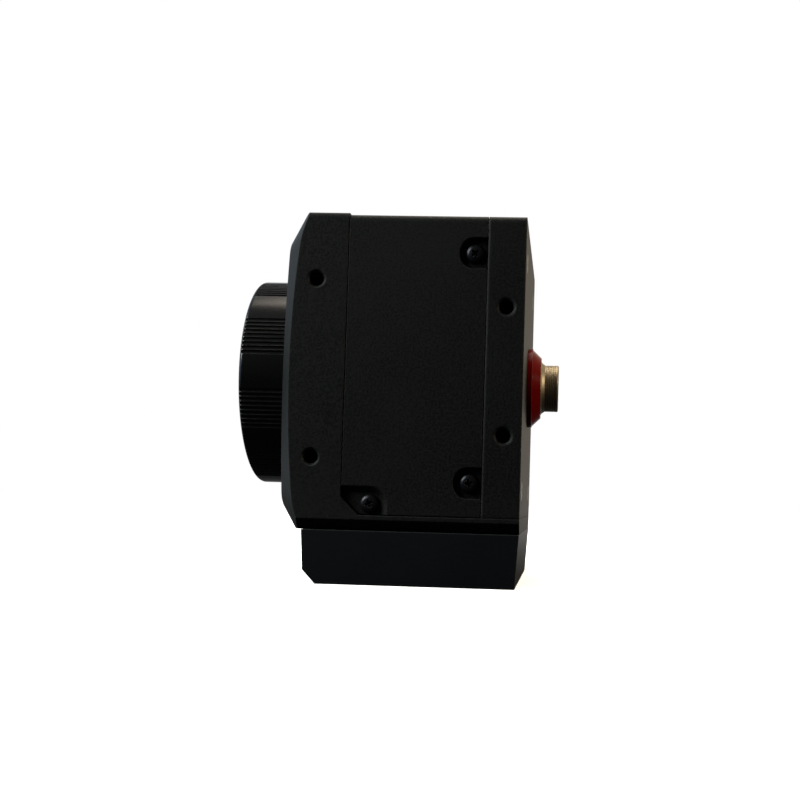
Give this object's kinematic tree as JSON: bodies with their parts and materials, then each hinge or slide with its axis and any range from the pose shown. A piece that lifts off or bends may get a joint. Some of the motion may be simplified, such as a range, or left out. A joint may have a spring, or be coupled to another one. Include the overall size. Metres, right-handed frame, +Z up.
{
  "type": "machine vision camera",
  "caption": "Boxy industrial camera with a capped threaded lens mount, screwed black metal shells, a drafted mounting foot and a round rear connector in a red ring.",
  "frame": {"origin": "mouth of the mounting thread in the middle of the foot's underside", "axes": "+Z up, -Y the way the lens looks, +X to the right of someone who faces the lens"},
  "size_m": [0.075, 0.0768, 0.0853],
  "materials": {
    "capacitors": "cans",
    "chip_thermal_pad": "soft silicone",
    "connector_board": "green solder mask",
    "connector_insert": "moulded",
    "connector_link": "moulded",
    "connector_nut": "nickelled",
    "connector_pins": "gilt",
    "connector_ring": "red anodised",
    "connector_shell": "nickelled",
    "cover": "fine black powder coat",
    "cover_screws": "black zinc",
    "dust_cap": "moulded, lightly grained",
    "filter_glass": "coated filter glass",
    "filter_retainer": "black anodised",
    "foot_screws": "black oxide",
    "front_housing": "fine black powder coat",
    "front_standoffs": "nickelled",
    "heat_block": "milled",
    "heat_spreader": "plain",
    "image_sensor": "dark alumina package",
    "lens_mount_ring": "black anodised",
    "memory_chips": "moulded",
    "middle_standoffs": "nickelled",
    "mount_screws": "black oxide",
    "mounting_foot": "black anodised, drafted ends",
    "power_board": "green solder mask",
    "power_coils": "ferrite",
    "power_link": "moulded",
    "processor_board": "green solder mask",
    "processor_chip": "moulded",
    "rear_housing": "fine black powder coat",
    "rear_screws": "black oxide",
    "sensor_board": "green solder mask",
    "sensor_die": "silicon with colour filters",
    "sensor_gasket": "foam",
    "sensor_link": "moulded",
    "sensor_thermal_pad": "soft silicone",
    "sensor_window": "clear",
    "tie_pillars": "plain"
  },
  "bodies": {
    "camera": {"capacitors": "capacitors", "chip_thermal_pad": "chip_thermal_pad", "connector_board": "connector_board", "connector_insert": "connector_insert", "connector_link": "connector_link", "connector_nut": "connector_nut", "connector_pins": "connector_pins", "connector_ring": "connector_ring", "connector_shell": "connector_shell", "cover": "cover", "cover_screws": "cover_screws", "filter_glass": "filter_glass", "filter_retainer": "filter_retainer", "foot_screws": "foot_screws", "front_housing": "front_housing", "front_standoffs": "front_standoffs", "heat_block": "heat_block", "heat_spreader": "heat_spreader", "image_sensor": "image_sensor", "lens_mount_ring": "lens_mount_ring", "memory_chips": "memory_chips", "middle_standoffs": "middle_standoffs", "mount_screws": "mount_screws", "mounting_foot": "mounting_foot", "power_board": "power_board", "power_coils": "power_coils", "power_link": "power_link", "processor_board": "processor_board", "processor_chip": "processor_chip", "rear_housing": "rear_housing", "rear_screws": "rear_screws", "sensor_board": "sensor_board", "sensor_die": "sensor_die", "sensor_gasket": "sensor_gasket", "sensor_link": "sensor_link", "sensor_thermal_pad": "sensor_thermal_pad", "sensor_window": "sensor_window", "tie_pillars": "tie_pillars"},
    "cap": {"dust_cap": "dust_cap"}
  },
  "joints": [
    {"name": "cap_pull", "type": "slide", "parent": "camera", "child": "cap", "axis": [0, -1, 0], "range_m": [0, 0.04]}
  ]
}
